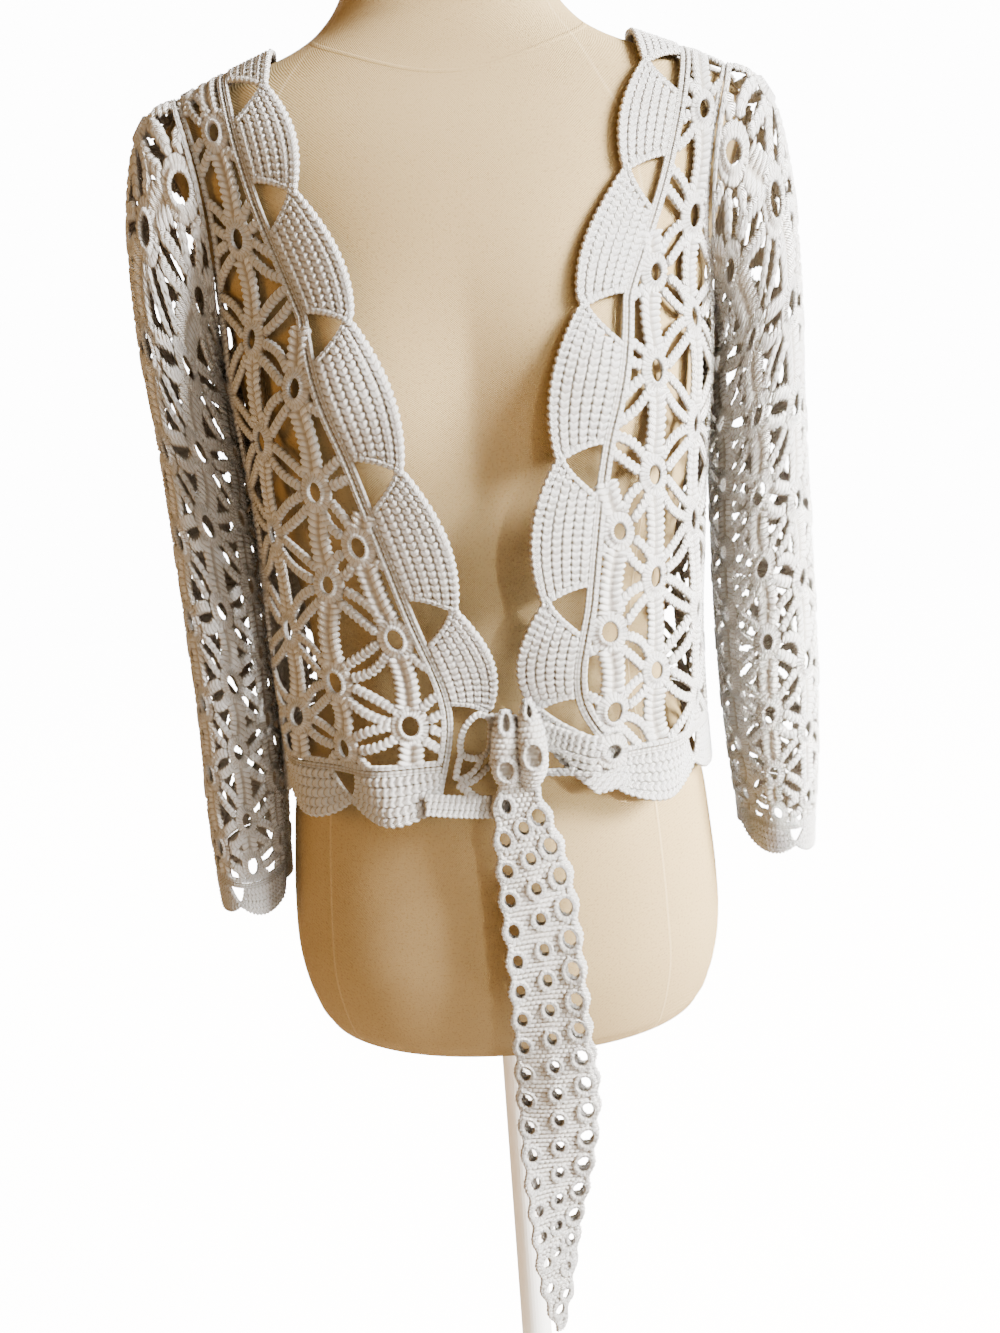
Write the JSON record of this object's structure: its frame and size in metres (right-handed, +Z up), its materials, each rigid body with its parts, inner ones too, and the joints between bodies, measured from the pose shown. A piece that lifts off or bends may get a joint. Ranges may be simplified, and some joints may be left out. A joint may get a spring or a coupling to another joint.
{
  "type": "crochet cardigan on a limbless dress form",
  "caption": "Cropped openwork crochet cardigan with long sleeves, scalloped borders and a tied front waist, worn on a cream limbless dress form with a pole and round base.",
  "frame": {"origin": "centre of the base's underside, where the stand rests on the floor", "axes": "+Z up, the wearer's front faces -Y, the wearer's left is at +X"},
  "size_m": [0.4347, 0.26, 1.2533],
  "materials": {
    "cotton_crochet": "matte cotton yarn, crocheted",
    "form_jersey": "matte cream jersey stretched over a firm form",
    "painted_metal": "satin light paint"
  },
  "bodies": {
    "root": {"back": "cotton_crochet", "cuff_left_back": "cotton_crochet", "cuff_left_front": "cotton_crochet", "cuff_right_back": "cotton_crochet", "cuff_right_front": "cotton_crochet", "dress_form": "form_jersey", "front_border_left": "cotton_crochet", "front_border_right": "cotton_crochet", "front_left": "cotton_crochet", "front_right": "cotton_crochet", "hem_border_back": "cotton_crochet", "hem_border_left": "cotton_crochet", "hem_border_right": "cotton_crochet", "neck_border_back": "cotton_crochet", "neck_cap": "form_jersey", "sleeve_left_back": "cotton_crochet", "sleeve_left_front": "cotton_crochet", "sleeve_right_back": "cotton_crochet", "sleeve_right_front": "cotton_crochet", "stand_base": "painted_metal", "stand_pole": "painted_metal", "tie_band_left": "cotton_crochet", "tie_band_right": "cotton_crochet", "tie_knot": "cotton_crochet", "tie_tail_back": "cotton_crochet", "tie_tail_front": "cotton_crochet"}
  },
  "joints": []
}
